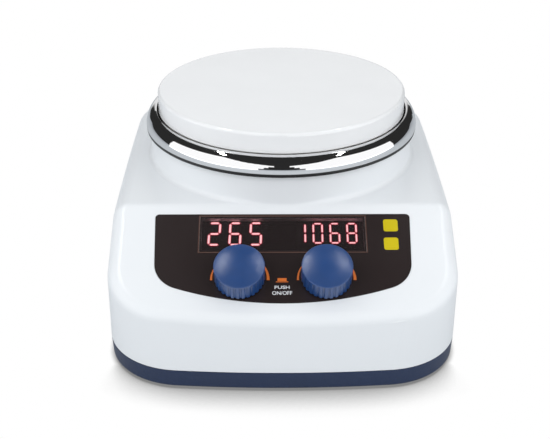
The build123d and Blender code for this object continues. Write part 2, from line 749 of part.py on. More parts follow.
with BuildPart() as motor_end_cap:
    bar(motor_radius, motor_low, motor_low + motor_face)
    bar(seat_radius, motor_low + motor_face, motor_low + motor_face + bearing_width)
    bar(bearing_radius, motor_low + motor_face, motor_low + motor_face + bearing_width,
        mode=Mode.SUBTRACT)
finish(motor_end_cap, "motor_end_cap")

with BuildPart() as motor_bracket:
    block(bracket_size, bracket_size, bracket_low, bracket_top, plate_centre,
          corner=bracket_corner_radius)
    bar(hub_radius + hub_opening_clearance, bracket_low, bracket_top, mode=Mode.SUBTRACT)
    bar(m3_radius + screw_clearance, bracket_low, bracket_top, motor_screw_places,
        mode=Mode.SUBTRACT)
    bar(m3_radius + screw_clearance, bracket_low, bracket_top, pillar_places, mode=Mode.SUBTRACT)
finish(motor_bracket, "motor_bracket")

with BuildPart() as bracket_pillars:
    bar(pillar_radius, pillar_low, pillar_high, pillar_places)
    bar(m3_radius, pillar_high - thread_depth, pillar_high, pillar_places, mode=Mode.SUBTRACT)
    bar(m3_radius, pillar_low - thread_depth, pillar_low, pillar_places)
finish(bracket_pillars, "bracket_pillars")

with BuildPart() as pillar_grommets:
    bar(grommet_radius, pillar_high, bracket_low, pillar_places)
    bar(m3_radius + screw_clearance, pillar_high, bracket_low, pillar_places, mode=Mode.SUBTRACT)
finish(pillar_grommets, "pillar_grommets")

with BuildPart() as motor_screws:
    bar(m3_head_radius, bracket_top, bracket_top + m3_head_height,
        pillar_places + motor_screw_places)
    bar(m3_radius, pillar_high - thread_depth, bracket_top, pillar_places)
    bar(m3_radius, bearing_high, bracket_top, motor_screw_places)
finish(motor_screws, "motor_screws")

# ================= control panel =================

with BuildPart() as panel_overlay:
    extrude(overlay_outline(overlay_recess), amount=overlay_thickness)
    block(window_width, window_height, -overlay_recess, overlay_face, window_place,
          panel_plane(), mode=Mode.SUBTRACT)
    bar(bushing_radius + panel_hole_clearance, -overlay_recess, overlay_face,
        knob_places.values(), panel_plane(), Mode.SUBTRACT)
finish(panel_overlay, "panel_overlay")

with BuildPart() as display_window:
    block(window_width - 2 * label_clearance, window_height - 2 * label_clearance,
          -overlay_recess, overlay_face, window_place, panel_plane())
finish(display_window, "display_window")

# Digit modules stand on the display board behind the window.
for name, x, width in (("heat_digits", heat_digit_x, heat_digit_width),
                       ("stir_digits", stir_digit_x, stir_digit_width)):
    with BuildPart() as digits:
        block(width, digit_height_outer, -board_face, digit_depth - board_face, (x, -digit_t),
              panel_plane())
    finish(digits, name)

board_length = display_board_bottom - display_board_top
with BuildPart() as display_board:
    block(2 * display_board_half_width, board_length, -board_face - board_thickness, -board_face,
          (0, -display_board_top - board_length / 2), panel_plane())
    bar(m3_radius + screw_clearance, -board_face - board_thickness, -board_face,
        board_post_places, panel_plane(), Mode.SUBTRACT)
finish(display_board, "display_board")

# Push-and-turn encoders, their nuts, shafts, push plungers and knobs.
chamber_low = encoder_floor - board_face
plunger_high = shaft_low
for name, place in knob_places.items():
    with BuildPart() as encoder:
        block(encoder_size, encoder_size, -board_face, -wall, place, panel_plane())
        bar(bushing_radius, -wall, bushing_rise, [place], panel_plane())
        bar(shaft_radius + running_clearance, chamber_low, bushing_rise, [place], panel_plane(),
            Mode.SUBTRACT)
        bar(encoder_chamber_radius, chamber_low, plunger_high + running_clearance, [place],
            panel_plane(), Mode.SUBTRACT)
    finish(encoder, f"{name}_encoder")

    with BuildPart() as plunger:
        bar(plunger_radius, plunger_high - plunger_height, plunger_high, [place], panel_plane())
    finish(plunger, f"{name}_plunger")

    knob_top = knob_low + knob_height
    with BuildPart() as shaft:
        bar(shaft_radius, shaft_low, knob_top - knob_roof, [place], panel_plane())
    finish(shaft, f"{name}_shaft")

    face = panel_plane()
    knob_plane = Plane(origin=face.from_local_coords(Vector(*place, 0)), x_dir=face.x_dir,
                       z_dir=face.z_dir)
    knob_axis = Axis(knob_plane.origin, knob_plane.z_dir)
    knob_section = Plane(origin=knob_plane.origin, x_dir=face.x_dir, z_dir=-face.y_dir)
    with BuildPart() as knob:
        with BuildSketch(knob_section):
            with BuildLine():
                Polyline((0, knob_top), (0, knob_low), (knob_radius, knob_low),
                         (knob_radius, knob_top - knob_dome))
                dome_radius = (knob_radius ** 2 + knob_dome ** 2) / (2 * knob_dome)
                half_x = knob_radius / 2
                half_z = knob_top - dome_radius + sqrt(dome_radius ** 2 - half_x ** 2)
                ThreePointArc((knob_radius, knob_top - knob_dome), (half_x, half_z), (0, knob_top))
            make_face()
        revolve(axis=knob_axis)
        rim = knob.edges().filter_by(lambda e: e.is_closed).sort_by(knob_axis)[-1]
        fillet(rim, knob_edge_radius)
        with BuildSketch(knob_plane.offset(knob_low)):
            with PolarLocations(knob_radius + knob_flute_radius - knob_flute_depth,
                                knob_flute_count):
                Circle(knob_flute_radius)
        extrude(amount=knob_height - knob_dome - knob_edge_radius - knob_smooth_band,
                mode=Mode.SUBTRACT)
        bar(knob_hollow_radius, knob_low, knob_top - knob_roof, [place], panel_plane(),
            Mode.SUBTRACT)
        bar(knob_hub_radius, knob_low + bushing_rise, knob_top - knob_roof, [place],
            panel_plane())
        bar(shaft_radius, knob_low, knob_top - knob_roof, [place], panel_plane(), Mode.SUBTRACT)
    finish(knob, f"{name}_knob")

with BuildPart() as encoder_nuts:
    for place in knob_places.values():
        with BuildSketch(panel_plane(-overlay_face)):
            with Locations(place):
                RegularPolygon(nut_across_flats / 2, 6, major_radius=False)
                Circle(bushing_radius + running_clearance, mode=Mode.SUBTRACT)
        extrude(amount=nut_height)
finish(encoder_nuts, "encoder_nuts")

with BuildPart() as board_screws:
    display_back = -board_face - board_thickness
    bar(m3_head_radius, display_back - m3_head_height, display_back, board_post_places,
        panel_plane())
    bar(m3_radius, display_back, thread_depth - board_face, board_post_places, panel_plane())
    bar(m3_head_radius, power_board_top, power_board_top + m3_head_height, power_post_places)
    bar(m3_radius, power_board_low - thread_depth, power_board_top, power_post_places)
finish(board_screws, "board_screws")

# ================= power electronics =================

with BuildPart() as power_board:
    block(power_board_width, power_board_depth, power_board_low, power_board_top,
          (0, power_board_y))
    bar(m3_radius + screw_clearance, power_board_low, power_board_top, power_post_places,
        mode=Mode.SUBTRACT)
finish(power_board, "power_board")

with BuildPart() as transformer:
    block(transformer_width, transformer_depth, power_board_top,
          power_board_top + transformer_height, (transformer_x, transformer_y))
    block(transformer_width - 2 * transformer_coil_overhang,
          transformer_depth + 2 * transformer_coil_overhang, power_board_top,
          power_board_top + transformer_coil_height, (transformer_x, transformer_y),
          corner=transformer_coil_corner)
finish(transformer, "transformer")

with BuildPart() as capacitors:
    places = [(capacitor_x, capacitor_y), (capacitor_x + capacitor_pitch, capacitor_y)]
    bar(capacitor_radius, power_board_top, power_board_top + capacitor_height, places)
    fillet(capacitors.faces().group_by(Axis.Z)[-1].edges(), capacitor_edge_radius)
finish(capacitors, "capacitors")

with BuildPart() as relay:
    block(relay_width, relay_depth, power_board_top, power_board_top + relay_height,
          (relay_x, relay_y))
finish(relay, "relay")

with BuildPart() as heat_sink:
    block(sink_width, sink_web, power_board_top, power_board_top + sink_height,
          (sink_x, sink_y - (sink_depth - sink_web) / 2))
    fin_pitch = (sink_width - sink_fin_thickness) / (sink_fin_count - 1)
    for i in range(sink_fin_count):
        fin_x = sink_x - sink_width / 2 + sink_fin_thickness / 2 + i * fin_pitch
        block(sink_fin_thickness, sink_depth, power_board_top, power_board_top + sink_height,
              (fin_x, sink_y))
finish(heat_sink, "heat_sink")

# Flat cable between the two boards, with a connector at each end.
display_header = panel_plane(board_face + board_thickness + header_height)
cable_end = display_header.from_local_coords(Vector(0, -display_header_t, 0))
cable_drop = 2 * ribbon_bend_radius
cable_bend = cable_end - display_header.z_dir * cable_drop
with BuildPart() as ribbon_connectors:
    block(header_width, header_depth, -board_face - board_thickness - header_height,
          -board_face - board_thickness, (0, -display_header_t), panel_plane())
    block(header_width, header_depth, power_board_top, power_board_top + header_height,
          (0, cable_bend.Y))
finish(ribbon_connectors, "ribbon_connectors")

with BuildPart() as ribbon_cable:
    with BuildSketch(Plane.YZ):
        with BuildLine():
            FilletPolyline((cable_bend.Y, power_board_top + header_height),
                           (cable_bend.Y, cable_bend.Z), (cable_end.Y, cable_end.Z),
                           radius=ribbon_bend_radius)
        trace(line_width=ribbon_thickness)
    extrude(amount=ribbon_width / 2, both=True)
finish(ribbon_cable, "ribbon_cable")

# ================= rear fittings =================

inlet_place = (-inlet_x, recess_centre_z)
socket_z = recess_centre_z - inlet_height / 2 + inlet_wall + socket_height / 2
drawer_z = recess_centre_z + inlet_height / 2 - inlet_wall - drawer_height / 2
with BuildPart() as power_inlet:
    block(inlet_flange_width, inlet_flange_height, 0, flange_thickness, inlet_place, rear_panel,
          inlet_flange_corner)
    block(inlet_width, inlet_height, -inlet_depth, 0, inlet_place, rear_panel)
    with BuildSketch(rear_panel.offset(flange_thickness)) as mouth:
        with Locations((-inlet_x, socket_z)):
            Rectangle(socket_width, socket_height)
        chamfer(mouth.vertices().group_by(Axis.Y)[-1], socket_corner)
    extrude(amount=-socket_depth, mode=Mode.SUBTRACT)
    block(drawer_width, drawer_height, flange_thickness - drawer_depth - drawer_clearance,
          flange_thickness, (-inlet_x, drawer_z), rear_panel, mode=Mode.SUBTRACT)
finish(power_inlet, "power_inlet")

socket_floor = flange_thickness - socket_depth
with BuildPart() as inlet_pins:
    pin_places = [(-inlet_x - pin_pitch / 2, socket_z - earth_rise / 2),
                  (-inlet_x + pin_pitch / 2, socket_z - earth_rise / 2),
                  (-inlet_x, socket_z + earth_rise / 2)]
    for place in pin_places:
        block(pin_thickness, pin_width, socket_floor, socket_floor + pin_length, place, rear_panel)
        block(pin_thickness / 2, pin_width, -inlet_depth - pin_tab_length, -inlet_depth, place,
              rear_panel)
finish(inlet_pins, "inlet_pins")

drawer_low = flange_thickness - drawer_depth
fuse_y = rear_panel_y + drawer_low + drawer_wall + fuse_clearance + fuse_radius
with BuildPart() as fuse_drawer:
    block(drawer_width - 2 * drawer_clearance, drawer_height - 2 * drawer_clearance, drawer_low,
          flange_thickness + drawer_grip, (-inlet_x, drawer_z), rear_panel)
    block(fuse_length + 2 * fuse_clearance, 2 * (fuse_radius + fuse_clearance),
          drawer_z - fuse_radius - fuse_clearance, drawer_z + drawer_height / 2,
          (inlet_x, fuse_y), mode=Mode.SUBTRACT)
finish(fuse_drawer, "fuse_drawer")

with BuildPart() as fuse:
    bar(fuse_radius, inlet_x - fuse_length / 2, inlet_x + fuse_length / 2, [(fuse_y, drawer_z)],
        Plane.YZ)
finish(fuse, "fuse")

# Mains rocker, shown switched off with its lower end pressed in.
rocker_place = (-rocker_x, recess_centre_z)
pivot_y = rear_panel_y - rocker_pivot_depth
pivot_end = rocker_width / 2 + pivot_length
with BuildPart() as rocker_frame:
    block(rocker_body_width + 2 * rocker_lip, rocker_body_height + 2 * rocker_lip, 0,
          rocker_flange, rocker_place, rear_panel, rocker_flange_corner)
    block(rocker_body_width, rocker_body_height, -rocker_body_depth, 0, rocker_place, rear_panel)
    block(rocker_bay_width, 2 * rocker_reach, rocker_end_wall - rocker_body_depth, rocker_flange,
          rocker_place, rear_panel, mode=Mode.SUBTRACT)
    bar(pivot_radius + running_clearance, rocker_x - pivot_end - running_clearance,
        rocker_x + pivot_end + running_clearance, [(pivot_y, recess_centre_z)], Plane.YZ,
        Mode.SUBTRACT)
finish(rocker_frame, "rocker_frame")

rocker_plane = Plane(origin=(rocker_x, pivot_y, recess_centre_z), x_dir=(0, cos(tilt), -sin(tilt)),
                     z_dir=(1, 0, 0))
with BuildPart() as rocker_switch:
    with BuildSketch(rocker_plane):
        with BuildLine():
            Polyline((rocker_crown, -rocker_half_length), (rocker_crown - rocker_dip, 0),
                     (rocker_crown, rocker_half_length), (0, rocker_half_length),
                     (-rocker_root, rocker_half_length / 2), (-rocker_root, -rocker_half_length / 2),
                     (0, -rocker_half_length), close=True)
        make_face()
    extrude(amount=rocker_width / 2, both=True)
    bar(pivot_radius, rocker_x - pivot_end, rocker_x + pivot_end, [(pivot_y, recess_centre_z)],
        Plane.YZ)
finish(rocker_switch, "rocker_switch")

# Socket for an outside temperature probe.
jack_place = (-jack_x, recess_centre_z)
with BuildPart() as probe_socket:
    bar(jack_flange_radius, 0, jack_flange, [jack_place], rear_panel)
    bar(jack_radius, -jack_depth, 0, [jack_place], rear_panel)
    bar(jack_bore, jack_flange - jack_bore_depth, jack_flange, [jack_place], rear_panel,
        Mode.SUBTRACT)
finish(probe_socket, "probe_socket")

# Threaded socket for an upright support rod, clamped to the shoulder by a nut.
rod_mouth = shoulder_height + rod_flange_height
with BuildPart() as rod_socket:
    bar(rod_flange_radius, shoulder_height, rod_mouth, rod_place)
    bar(rod_socket_radius, rod_mouth - rod_socket_length, shoulder_height, rod_place)
    bar(rod_thread_radius, rod_mouth - rod_thread_depth, rod_mouth, rod_place, mode=Mode.SUBTRACT)
finish(rod_socket, "rod_socket")

with BuildPart() as rod_nut:
    with BuildSketch(Plane.XY.offset(rod_boss_low - rod_nut_height)):
        with Locations(*rod_place):
            RegularPolygon(rod_nut_across_flats / 2, 6, major_radius=False,
                           rotation=degrees(rod_angle) - half_flat_angle)
            Circle(rod_socket_radius + running_clearance, mode=Mode.SUBTRACT)
    extrude(amount=rod_nut_height)
finish(rod_nut, "rod_nut")
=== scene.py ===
import json
from math import atan2, cos, pi, radians, sin

import bmesh
import bpy
from mathutils import Matrix, Vector


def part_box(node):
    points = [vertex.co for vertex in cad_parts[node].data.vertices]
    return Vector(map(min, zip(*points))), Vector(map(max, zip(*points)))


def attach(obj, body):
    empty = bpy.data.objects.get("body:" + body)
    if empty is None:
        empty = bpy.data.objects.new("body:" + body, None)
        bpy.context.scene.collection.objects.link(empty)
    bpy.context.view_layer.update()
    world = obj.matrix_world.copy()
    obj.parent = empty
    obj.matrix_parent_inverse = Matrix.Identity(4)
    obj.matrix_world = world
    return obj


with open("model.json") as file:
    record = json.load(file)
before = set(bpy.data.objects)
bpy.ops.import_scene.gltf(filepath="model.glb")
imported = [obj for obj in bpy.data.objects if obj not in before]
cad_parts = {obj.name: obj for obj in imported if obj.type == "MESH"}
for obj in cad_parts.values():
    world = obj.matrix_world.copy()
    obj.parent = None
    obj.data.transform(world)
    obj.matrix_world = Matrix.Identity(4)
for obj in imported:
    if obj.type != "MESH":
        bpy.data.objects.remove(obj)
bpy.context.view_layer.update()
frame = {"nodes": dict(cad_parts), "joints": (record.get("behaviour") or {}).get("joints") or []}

nodes = frame["nodes"]
joints = {joint["name"]: joint for joint in frame["joints"]}

# ---- Camera ----
# It stands 0.56 m in front of the plate's axis and 0.32 m above the floor, a little to the user's
# left, and looks down on the panel and the plate.
plate_low, plate_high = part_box("work_plate")
plate_axis = (plate_low + plate_high) / 2
camera_reach, camera_height, camera_side = 0.56257, 0.31859, radians(0.6)
dip_degrees, turn_degrees = 27.35, -0.252
camera_place = Vector((plate_axis.x - camera_reach * sin(camera_side),
                       plate_axis.y - camera_reach * cos(camera_side), camera_height))
bpy.ops.object.camera_add(location=camera_place,
                          rotation=(radians(90 - dip_degrees), 0, radians(turn_degrees)))
camera = bpy.context.object
camera.data.sensor_fit = "HORIZONTAL"
camera.data.sensor_width = 36
camera.data.lens = 71.07
camera.data.clip_start = 0.01
bpy.context.scene.camera = camera

# ---- Studio ----
# Four soft lamps and even light all round light the matt surfaces, before a white backdrop. Gloss
# sees neither those lamps nor the backdrop: it sees a dim room, a stepped strip panel on each side
# and two narrow bright lamps overhead. The floor's shade is painted shadow: the floor glows to the
# camera, dimmer where a spot is closed in.
bpy.context.scene.view_settings.view_transform = "Standard"
world = bpy.data.worlds.new("studio")
bpy.context.scene.world = world
world.use_nodes = True
sky = world.node_tree.nodes
sky.clear()
wire = world.node_tree.links.new


def sky_math(operation, first, second):
    """One sum in the world's nodes, on sockets or plain numbers."""
    node = sky.new("ShaderNodeMath")
    node.operation = operation
    for socket, value in zip(node.inputs, (first, second)):
        if isinstance(value, (int, float)):
            socket.default_value = value
        else:
            wire(value, socket)
    return node.outputs[0]


even_color, even_strength = (0.93, 0.97, 1.0, 1), 0.62
room_dark, room_bright, room_start, room_full, room_narrowing = 0.03, 1.0, 0.0, 0.2, 2
path = sky.new("ShaderNodeLightPath")
even = sky.new("ShaderNodeBackground")
even.inputs["Color"].default_value = even_color
even.inputs["Strength"].default_value = even_strength
white = sky.new("ShaderNodeBackground")
white.inputs["Color"].default_value = (1, 1, 1, 1)
room = sky.new("ShaderNodeBackground")
aim = sky.new("ShaderNodeTexCoord")
split = sky.new("ShaderNodeSeparateXYZ")
wire(aim.outputs["Generated"], split.inputs[0])
ramp = sky.new("ShaderNodeMapRange")
ramp.interpolation_type = "SMOOTHSTEP"
aside = sky_math("MULTIPLY", sky_math("ABSOLUTE", split.outputs["X"], 0), room_narrowing)
wire(sky_math("SUBTRACT", sky_math("SUBTRACT", split.outputs["Y"], split.outputs["Z"]), aside),
     ramp.inputs["Value"])
for name, value in (("From Min", room_start), ("From Max", room_full), ("To Min", room_dark),
                    ("To Max", room_bright)):
    ramp.inputs[name].default_value = value
wire(ramp.outputs["Result"], room.inputs["Strength"])
polished = sky.new("ShaderNodeMixShader")
wire(path.outputs["Is Glossy Ray"], polished.inputs[0])
wire(even.outputs[0], polished.inputs[1])
wire(room.outputs[0], polished.inputs[2])
seen = sky.new("ShaderNodeMixShader")
wire(sky_math("MAXIMUM", path.outputs["Is Camera Ray"], path.outputs["Is Transmission Ray"]),
     seen.inputs[0])
wire(polished.outputs[0], seen.inputs[1])
wire(white.outputs[0], seen.inputs[2])
surround = sky.new("ShaderNodeOutputWorld")
wire(seen.outputs[0], surround.inputs["Surface"])

# name, place, aim, width, height, watts, and whether it shows in gloss or lights matt surfaces
lamps = [("lamp_left", (-0.69, -0.40, 0.62), (0, 0, 0.62), 1.4, 1.24, 5.6, False),
         ("lamp_right", (0.69, -0.40, 0.62), (0, 0, 0.62), 1.3, 1.24, 5.2, False),
         ("lamp_front", (0, -0.65, 0.9), (0, 0, 0.08), 0.9, 0.5, 1.2, False),
         ("lamp_back", (0, 0.3, 0.95), (0, 0, 0.1), 1.2, 0.36, 0.7, False),
         ("glow_left", (-0.31, 0.03, 0.69), (0, -0.09, 0.05), 0.4, 0.03, 0.85, True),
         ("glow_right", (0.31, 0.03, 0.69), (0, -0.09, 0.05), 0.4, 0.03, 0.62, True)]
# A strip panel stands on each side, facing the stirrer, and narrows in steps towards the front.
strip_aside, strip_fore, strip_top, watts_per_area = 0.67, -0.39, 0.58, 3.3
for side in (-1, 1):
    out = Vector((side * strip_aside, strip_fore, 0))
    along = Vector((0, 0, side)).cross(out).normalized()
    for start, end, low in ((-0.68, 0.68, 0.0), (0.68, 0.80, 0.14), (0.80, 0.92, 0.28),
                            (0.92, 1.04, 0.42)):
        middle = Vector((0, 0, (low + strip_top) / 2)) - along * (start + end) / 2
        width, height = end - start, strip_top - low
        lamps.append(("strip", out + middle, middle, width, height,
                      watts_per_area * width * height, True))
for name, place, target, width, height, watts, glossy in lamps:
    bpy.ops.object.light_add(type="AREA", location=place)
    lamp = bpy.context.object
    lamp.name = name
    lamp.rotation_euler = (Vector(target) - Vector(place)).to_track_quat("-Z", "Y").to_euler()
    lamp.data.shape = "RECTANGLE"
    lamp.data.size, lamp.data.size_y = width, height
    lamp.data.energy = watts
    lamp.visible_glossy, lamp.visible_diffuse = glossy, not glossy

floor_size, floor_grey = 8, (0.55, 0.57, 0.59, 1)
# Painted shadow: the floor's glow to the camera dims where a spot is closed in, looked for 35 mm
# out in front of the stirrer and 5 mm elsewhere.
shade_front, shade_back, front_reach, other_reach = -0.108, -0.086, 0.035, 0.005
closed_in, open_out, darkest, lightest = 0.4, 0.794, 0.23, 1.0
bpy.ops.mesh.primitive_plane_add(size=floor_size)
floor = bpy.context.object
floor.name = "floor"
pale = bpy.data.materials.new("pale_floor")
pale.use_nodes = True
tree = pale.node_tree
tree.nodes.clear()
floor_path = tree.nodes.new("ShaderNodeLightPath")
contact = tree.nodes.new("ShaderNodeAmbientOcclusion")
contact.samples = 16
spot = tree.nodes.new("ShaderNodeTexCoord")
spot_parts = tree.nodes.new("ShaderNodeSeparateXYZ")
tree.links.new(spot.outputs["Object"], spot_parts.inputs[0])
reach = tree.nodes.new("ShaderNodeMapRange")
for name, value in (("From Min", shade_front), ("From Max", shade_back),
                    ("To Min", front_reach), ("To Max", other_reach)):
    reach.inputs[name].default_value = value
tree.links.new(spot_parts.outputs["Y"], reach.inputs["Value"])
tree.links.new(reach.outputs["Result"], contact.inputs["Distance"])
curve = tree.nodes.new("ShaderNodeMapRange")
for name, value in (("From Min", closed_in), ("From Max", open_out), ("To Min", darkest),
                    ("To Max", lightest)):
    curve.inputs[name].default_value = value
tree.links.new(contact.outputs["AO"], curve.inputs["Value"])
shown = tree.nodes.new("ShaderNodeEmission")
tree.links.new(curve.outputs["Result"], shown.inputs["Strength"])
bounce = tree.nodes.new("ShaderNodeBsdfDiffuse")
bounce.inputs["Color"].default_value = floor_grey
both = tree.nodes.new("ShaderNodeMixShader")
tree.links.new(floor_path.outputs["Is Camera Ray"], both.inputs[0])
tree.links.new(bounce.outputs[0], both.inputs[1])
tree.links.new(shown.outputs[0], both.inputs[2])
out = tree.nodes.new("ShaderNodeOutputMaterial")
tree.links.new(both.outputs[0], out.inputs["Surface"])
floor.data.materials.append(pale)

# ---- Housing ----
# The upper case is one white ABS moulding that carries the plate, the panel and the rear fittings.
# The base is screwed to its posts from below, and its gloss has the faint ripple of a moulding.
case_white = (0.79, 0.807, 0.826)
case_gloss, case_haze = 0.29, 0.32
noise_low, noise_high = 0.3, 0.7

surface = bpy.data.node_groups.new("surface_finish", "ShaderNodeTree")
for label, kind in (("Vector", "Vector"), ("Color", "Color"), ("Shade", "Float"),
                    ("Drift Scale", "Float"), ("Grain Scale", "Float"), ("Smooth", "Float"),
                    ("Rough", "Float")):
    surface.interface.new_socket(name=label, in_out="INPUT", socket_type="NodeSocket" + kind)
for label, kind in (("Color", "Color"), ("Roughness", "Float"), ("Height", "Float")):
    surface.interface.new_socket(name=label, in_out="OUTPUT", socket_type="NodeSocket" + kind)
given = surface.nodes.new("NodeGroupInput").outputs
made = surface.nodes.new("NodeGroupOutput").inputs
drift = surface.nodes.new("ShaderNodeTexNoise")
drift.inputs["Detail"].default_value = 3
channels = surface.nodes.new("ShaderNodeSeparateColor")
darker = surface.nodes.new("ShaderNodeMath")
darker.operation = "SUBTRACT"
lighter = surface.nodes.new("ShaderNodeMath")
lighter.operation = "ADD"
tone = surface.nodes.new("ShaderNodeMapRange")
gloss = surface.nodes.new("ShaderNodeMapRange")
tinted = surface.nodes.new("ShaderNodeVectorMath")
tinted.operation = "SCALE"
grain = surface.nodes.new("ShaderNodeTexNoise")
grain.inputs["Detail"].default_value = 2
for side in (darker, lighter):
    side.inputs[0].default_value = 1
for spread in (tone, gloss):
    spread.inputs["From Min"].default_value = noise_low
    spread.inputs["From Max"].default_value = noise_high
for source, target in (
        (given["Vector"], drift.inputs["Vector"]), (given["Drift Scale"], drift.inputs["Scale"]),
        (drift.outputs["Color"], channels.inputs[0]), (given["Shade"], darker.inputs[1]),
        (given["Shade"], lighter.inputs[1]), (channels.outputs[0], tone.inputs["Value"]),
        (darker.outputs[0], tone.inputs["To Min"]), (lighter.outputs[0], tone.inputs["To Max"]),
        (given["Color"], tinted.inputs[0]), (tone.outputs[0], tinted.inputs["Scale"]),
        (tinted.outputs[0], made["Color"]), (channels.outputs[1], gloss.inputs["Value"]),
        (given["Smooth"], gloss.inputs["To Min"]), (given["Rough"], gloss.inputs["To Max"]),
        (gloss.outputs[0], made["Roughness"]), (given["Vector"], grain.inputs["Vector"]),
        (given["Grain Scale"], grain.inputs["Scale"]), (grain.outputs[0], made["Height"])):
    surface.links.new(source, target)


def finish(name, color, smooth, rough, grain_size=0.0011, grain_depth=3e-6, drift_size=0.04,
           shade=0.015, stretch=(1, 1, 1), **plain):
    """A material whose tone and gloss drift slowly over a fine grain. Sizes are in metres."""
    material = bpy.data.materials.new(name)
    material.use_nodes = True
    tree = material.node_tree
    shader = tree.nodes["Principled BSDF"]
    place = tree.nodes.new("ShaderNodeTexCoord")
    lay = tree.nodes.new("ShaderNodeMapping")
    lay.name = "lay"
    lay.inputs["Scale"].default_value = stretch
    look = tree.nodes.new("ShaderNodeGroup")
    look.name = "look"
    look.node_tree = surface
    bump = tree.nodes.new("ShaderNodeBump")
    bump.name = "bump"
    bump.inputs["Distance"].default_value = grain_depth
    look.inputs["Color"].default_value = (*color, 1)
    for socket, value in (("Shade", shade), ("Drift Scale", 1 / drift_size),
                          ("Grain Scale", 1 / grain_size), ("Smooth", smooth), ("Rough", rough)):
        look.inputs[socket].default_value = value
    for socket, value in plain.items():
        shader.inputs[socket.replace("_", " ")].default_value = value
    for source, target in (
            (place.outputs["Object"], lay.inputs["Vector"]),
            (lay.outputs[0], look.inputs["Vector"]),
            (look.outputs["Color"], shader.inputs["Base Color"]),
            (look.outputs["Roughness"], shader.inputs["Roughness"]),
            (look.outputs["Height"], bump.inputs["Height"]),
            (bump.outputs[0], shader.inputs["Normal"])):
        tree.links.new(source, target)
    return material


def dress(material, *names):
    """Gives CAD nodes their material."""
    for name in names:
        for slot in nodes[name].material_slots:
            slot.material = material


dress(finish("white_case", case_white, case_gloss, case_haze, grain_size=0.0016,
             grain_depth=2e-6, drift_size=0.12, shade=0.008), "upper_housing")
nodes["upper_housing"].cycles.shadow_terminator_geometry_offset = 0.3

# ---- Base ----
# The base tray is a navy moulding with a finer, duller texture than the case. Its floor is slotted
# for air, and four steel screws pass up through it into the case's posts.
base_navy = (0.013, 0.026, 0.070)
dress(finish("navy_tray", base_navy, 0.36, 0.46, grain_size=0.0006, grain_depth=9e-6,
             shade=0.05), "base_tray")
bright_steel = finish("plated_steel", (0.62, 0.62, 0.64), 0.2, 0.32, grain_size=0.0004,
                      grain_depth=2e-6, shade=0.04, Metallic=1.0)
dress(bright_steel, "base_screws")

# ---- Feet ----
# Four soft rubber pads whose stems press into the base. Rubber picks up a little grey dust.
dress(finish("foot_rubber", (0.028, 0.028, 0.03), 0.62, 0.85, grain_size=0.0008,
             grain_depth=2e-5, drift_size=0.006, shade=0.3), "rubber_feet")

# ---- Work plate ----
# A thick aluminium disc with a hard white ceramic coating, smooth enough to wipe clean. Its rim is
# turned down, and bosses below take the screws of the standoffs.
plate_white = (0.84, 0.84, 0.845)
dress(finish("white_ceramic", plate_white, 0.16, 0.24, grain_size=0.0008, grain_depth=1.5e-6,
             shade=0.012, drift_size=0.03, Coat_Weight=0.35, Coat_Roughness=0.08), "work_plate")

# ---- Trim ring ----
# A steel ring, rolled to a rounded bead and mirror polished. It hides the air gap that keeps the
# case cool. Its foot, where it meets the case's neck, is painted black as painted shade of that
# gap.
polished = finish("polished_ring", (0.90, 0.90, 0.91), 0.025, 0.05, grain_size=0.004,
                  grain_depth=1e-6, shade=0.01, Metallic=1.0)
# Painted shade: a black, rough, non-metal band at the ring's foot stands in for the shadowed gap
# under the bead.
shade_band_height, shade_band_blend, painted_shade_black, shade_band_rough = 0.0018, 0.0001, 0.012, 0.45
first_color, second_color, mixed_color = 6, 7, 2  # the sockets of a Mix node set to colours
tree = polished.node_tree
heights = tree.nodes.new("ShaderNodeSeparateXYZ")
shade_band_mask = tree.nodes.new("ShaderNodeMapRange")
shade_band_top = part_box("trim_ring")[0].z + shade_band_height
for socket, value in (("From Min", shade_band_top - shade_band_blend), ("From Max", shade_band_top + shade_band_blend)):
    shade_band_mask.inputs[socket].default_value = value
tree.links.new(tree.nodes["Texture Coordinate"].outputs["Object"], heights.inputs[0])
tree.links.new(heights.outputs["Z"], shade_band_mask.inputs["Value"])
for socket, painted_shade_value in (("Base Color", (painted_shade_black, painted_shade_black, painted_shade_black, 1)),
                        ("Roughness", (shade_band_rough, shade_band_rough, shade_band_rough, 1))):
    blend = tree.nodes.new("ShaderNodeMix")
    blend.data_type = "RGBA"
    blend.inputs[first_color].default_value = painted_shade_value
    tree.links.new(shade_band_mask.outputs[0], blend.inputs[0])
    tree.links.new(tree.nodes["look"].outputs["Color" if socket == "Base Color" else socket],
                   blend.inputs[second_color])
    tree.links.new(blend.outputs[mixed_color], tree.nodes["Principled BSDF"].inputs[socket])
tree.links.new(shade_band_mask.outputs[0], tree.nodes["Principled BSDF"].inputs["Metallic"])
dress(polished, "trim_ring")

# ---- Heater ----
# Under the plate lies a mica sheet heater, pressed up by a steel disc. Ceramic standoffs hold the
# plate over a pad of ceramic felt in a steel pan, with a sensor and a thermal cutoff.


def banded(material, axis, pitch, dark, relief):
    """Adds even bands across one axis, as of sheets or strands side by side.

    A wave texture repeats every pi / 10 of its scaled length.
    """
    tree = material.node_tree
    look, bump = tree.nodes["look"], tree.nodes["bump"]
    bands = tree.nodes.new("ShaderNodeTexWave")
    bands.bands_direction = axis
    bands.inputs["Scale"].default_value = pi / 10 / pitch
    colors = tree.nodes.new("ShaderNodeValToRGB")
    colors.color_ramp.elements[0].color = (*dark, 1)
    colors.color_ramp.elements[1].color = look.inputs["Color"].default_value
    colors.color_ramp.elements[1].position = 0.5
    raised = tree.nodes.new("ShaderNodeMath")
    raised.operation = "MULTIPLY_ADD"
    raised.inputs[1].default_value = relief
    for source, target in (
            (tree.nodes["lay"].outputs[0], bands.inputs["Vector"]),
            (bands.outputs["Fac"], colors.inputs[0]), (colors.outputs[0], look.inputs["Color"]),
            (bands.outputs["Fac"], raised.inputs[0]), (look.outputs["Height"], raised.inputs[2]),
            (raised.outputs[0], bump.inputs["Height"])):
        tree.links.new(source, target)
    return material


